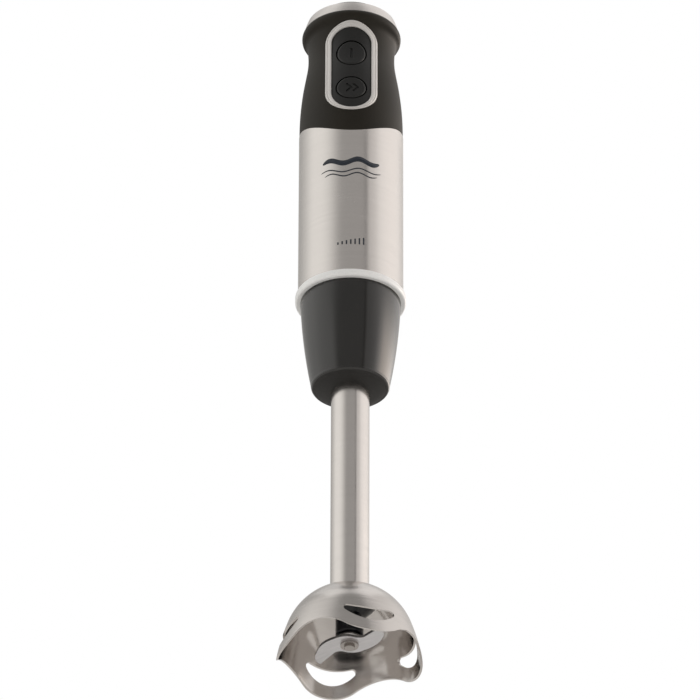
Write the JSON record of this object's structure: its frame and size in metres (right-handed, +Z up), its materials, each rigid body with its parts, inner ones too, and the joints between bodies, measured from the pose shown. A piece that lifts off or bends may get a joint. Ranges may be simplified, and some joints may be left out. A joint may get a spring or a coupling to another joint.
{
  "type": "immersion blender",
  "caption": "Hand-held immersion blender: two-button motor unit with speed dial, twist-off foot, and a spinning blade in a wavy windowed guard.",
  "frame": {"origin": "on the blender's axis, in the plane of the blade guard's lowest points", "axes": "+Z up along the axis from the guard to the cord gland, -Y towards the front with the buttons, +X to the right seen from the front"},
  "size_m": [0.0782, 0.0782, 0.4254],
  "materials": {
    "brushed_steel": "brushed stainless steel",
    "polished_steel": "polished stainless steel",
    "black_gloss": "glossy black plastic",
    "soft_black": "soft-touch black",
    "black_plastic": "satin black plastic",
    "satin_silver": "satin silver paint",
    "white_satin": "satin white plastic",
    "grey_plastic": "moulded grey plastic",
    "bronze": "sintered bronze",
    "rubber": "black rubber",
    "bright_steel": "machined steel",
    "lamination": "varnished lamination stack",
    "copper": "enamelled copper wire",
    "carbon": "carbon",
    "board": "circuit board lacquer",
    "aluminium": "extruded aluminium",
    "brass": "brass",
    "capacitor": "moulded film capacitor"
  },
  "bodies": {
    "motor_unit": {"trim_ring": "white_satin", "steel_sleeve": "brushed_steel", "soft_grip": "soft_black", "front_housing": "grey_plastic", "rear_housing": "grey_plastic", "housing_screws": "bright_steel", "button_bezel": "satin_silver", "button_panel": "black_plastic", "on_switch": "grey_plastic", "turbo_switch": "grey_plastic", "top_band": "satin_silver", "top_cap": "grey_plastic", "track_board": "board", "cord_gland": "rubber", "foot_socket": "grey_plastic", "lower_bracket": "aluminium", "lower_bearing": "bronze", "lower_mount": "rubber", "upper_bracket": "aluminium", "upper_bearing": "bronze", "upper_mount": "rubber", "stator_core": "lamination", "field_coils": "copper", "carbon_brushes": "carbon", "brush_holders": "brass", "brush_springs": "bright_steel", "motor_bolts": "bright_steel", "circuit_board": "board", "capacitor": "capacitor", "power_switch": "carbon", "heat_sink": "aluminium"},
    "rotor": {"motor_shaft": "bright_steel", "armature_core": "lamination", "armature_winding": "copper", "commutator": "copper", "fan": "grey_plastic", "motor_coupling": "black_plastic"},
    "dial": {"speed_dial": "black_plastic", "dial_wiper": "brass"},
    "on_key": {"on_button": "black_plastic"},
    "on_pin": {"on_plunger": "carbon"},
    "turbo_key": {"turbo_button": "black_plastic"},
    "turbo_pin": {"turbo_plunger": "carbon"},
    "seal": {"face_seal": "rubber"},
    "foot": {"blade_guard": "brushed_steel", "foot_tube": "brushed_steel", "bearing_housing": "black_plastic", "shaft_seal": "rubber", "lower_bush": "bronze", "upper_bush": "grey_plastic", "collar": "black_gloss", "foot_core": "grey_plastic"},
    "blade_shaft": {"drive_shaft": "bright_steel", "spacer_ring": "polished_steel", "retaining_clip": "bright_steel", "blade": "polished_steel", "blade_nut": "polished_steel", "foot_coupling": "black_plastic"}
  },
  "joints": [
    {"name": "rotor_spin", "type": "hinge", "parent": "motor_unit", "child": "rotor", "pos_m": [0, 0, 0.2775], "axis": [0, 0, 1], "continuous": true},
    {"name": "dial_turn", "type": "hinge", "parent": "motor_unit", "child": "dial", "pos_m": [0, 0, 0.4117], "axis": [0, 0, 1], "range_deg": [0, 270]},
    {"name": "on_press", "type": "slide", "parent": "motor_unit", "child": "on_key", "axis": [0, 1, 0], "range_m": [0, 0.0015], "stiffness_N_per_m": 600, "springref_m": -0.002},
    {"name": "on_plunge", "type": "slide", "parent": "motor_unit", "child": "on_pin", "axis": [0, 1, 0], "range_m": [0, 0.0015]},
    {"name": "turbo_press", "type": "slide", "parent": "motor_unit", "child": "turbo_key", "axis": [0, 1, 0], "range_m": [0, 0.0015], "stiffness_N_per_m": 600, "springref_m": -0.002},
    {"name": "turbo_plunge", "type": "slide", "parent": "motor_unit", "child": "turbo_pin", "axis": [0, 1, 0], "range_m": [0, 0.0015]},
    {"name": "foot_twist", "type": "hinge", "parent": "motor_unit", "child": "seal", "pos_m": [0, 0, 0.2275], "axis": [0, 0, 1], "range_deg": [0, 20]},
    {"name": "foot_pull", "type": "slide", "parent": "seal", "child": "foot", "axis": [0, 0, -1], "range_m": [0, 0.04]},
    {"name": "blade_spin", "type": "hinge", "parent": "foot", "child": "blade_shaft", "pos_m": [0, 0, 0.1], "axis": [0, 0, 1], "continuous": true}
  ],
  "couplings": [
    {"joint": "blade_spin", "follows": "rotor_spin", "ratio": 1},
    {"joint": "on_plunge", "follows": "on_press", "ratio": 1},
    {"joint": "turbo_plunge", "follows": "turbo_press", "ratio": 1}
  ]
}
